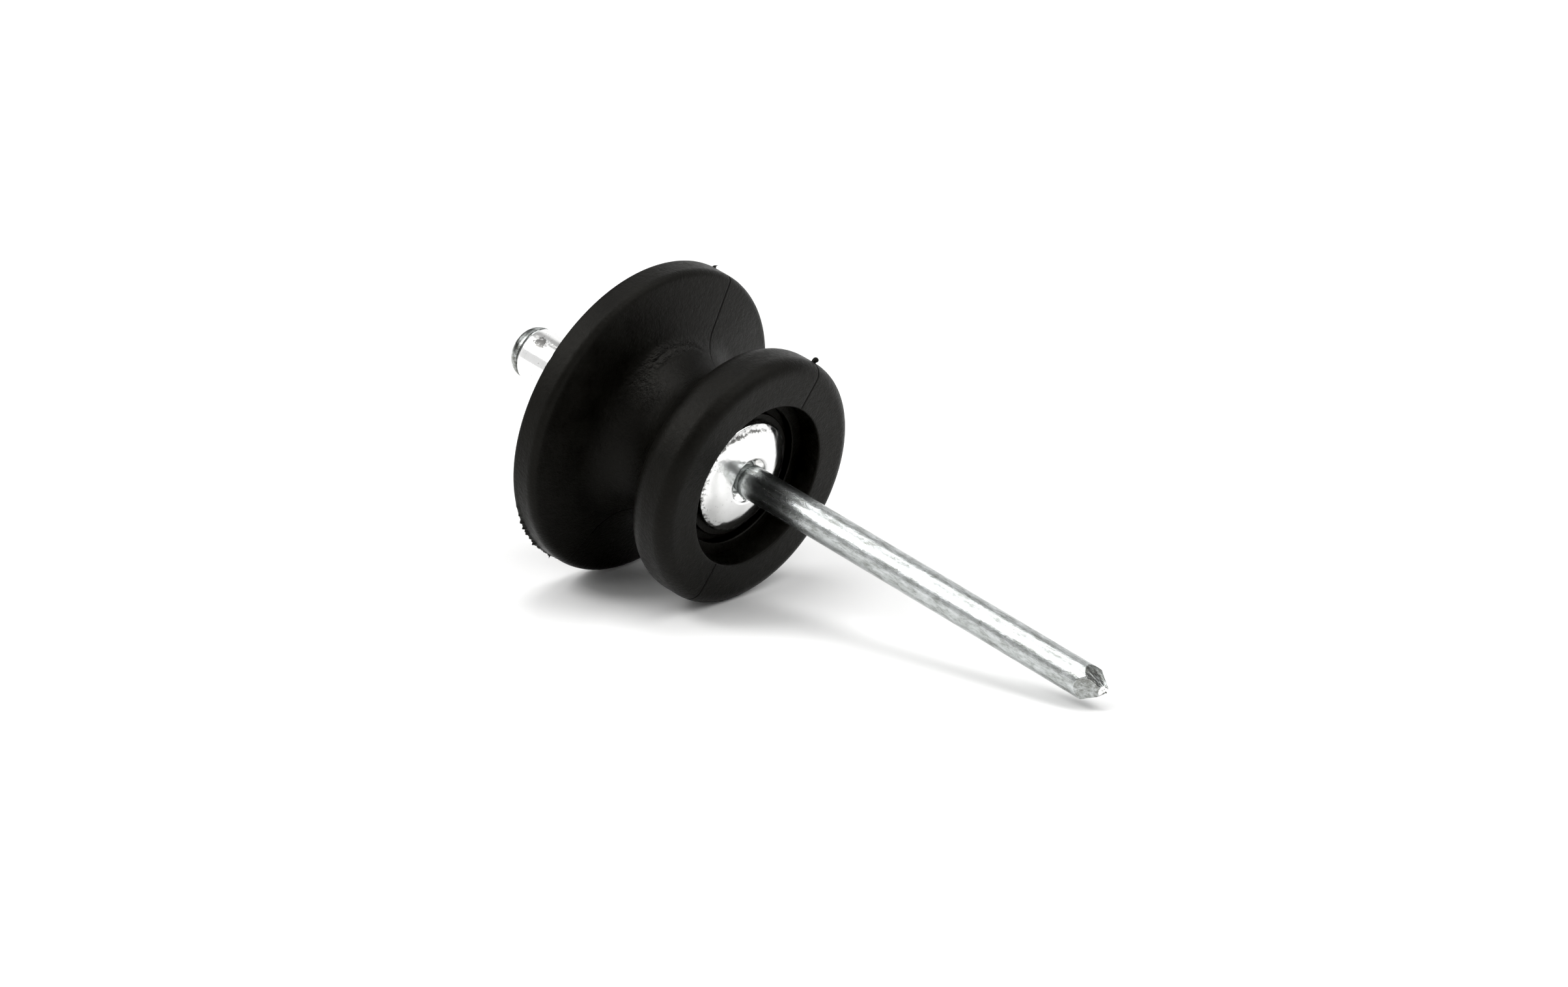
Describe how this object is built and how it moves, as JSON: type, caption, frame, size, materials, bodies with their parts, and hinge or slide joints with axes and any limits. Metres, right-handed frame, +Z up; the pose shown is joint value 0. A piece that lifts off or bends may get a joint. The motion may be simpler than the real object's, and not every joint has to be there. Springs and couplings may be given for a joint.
{
  "type": "fence insulator",
  "caption": "Rivet-on bobbin fence insulator: a black moulded bobbin with a wire groove between unequal flanges, and a domed blind rivet with its pull mandrel seated in its front recess.",
  "frame": {"origin": "on the common axis, in the plane of the bobbin's back face, which lies against the post", "axes": "+Y along the rivet into the post; the rivet tool and the mandrel's stem are on the -Y side; +Z up on an upright post"},
  "size_m": [0.028, 0.0667, 0.028],
  "materials": {
    "black_plastic": "satin moulded, fine grain",
    "rivet_metal": "bright, lightly tumbled",
    "mandrel_steel": "zinc plated drawn wire, satin"
  },
  "bodies": {
    "rivet": {"rivet_body": "rivet_metal"},
    "bobbin": {"bobbin": "black_plastic"},
    "mandrel": {"mandrel": "mandrel_steel"}
  },
  "joints": [
    {"name": "bobbin_spin", "type": "hinge", "parent": "rivet", "child": "bobbin", "pos_m": [0, 0, 0], "axis": [0, 1, 0], "continuous": true},
    {"name": "mandrel_slide", "type": "slide", "parent": "rivet", "child": "mandrel", "axis": [0, 1, 0], "range_m": [0, 0.038]}
  ]
}
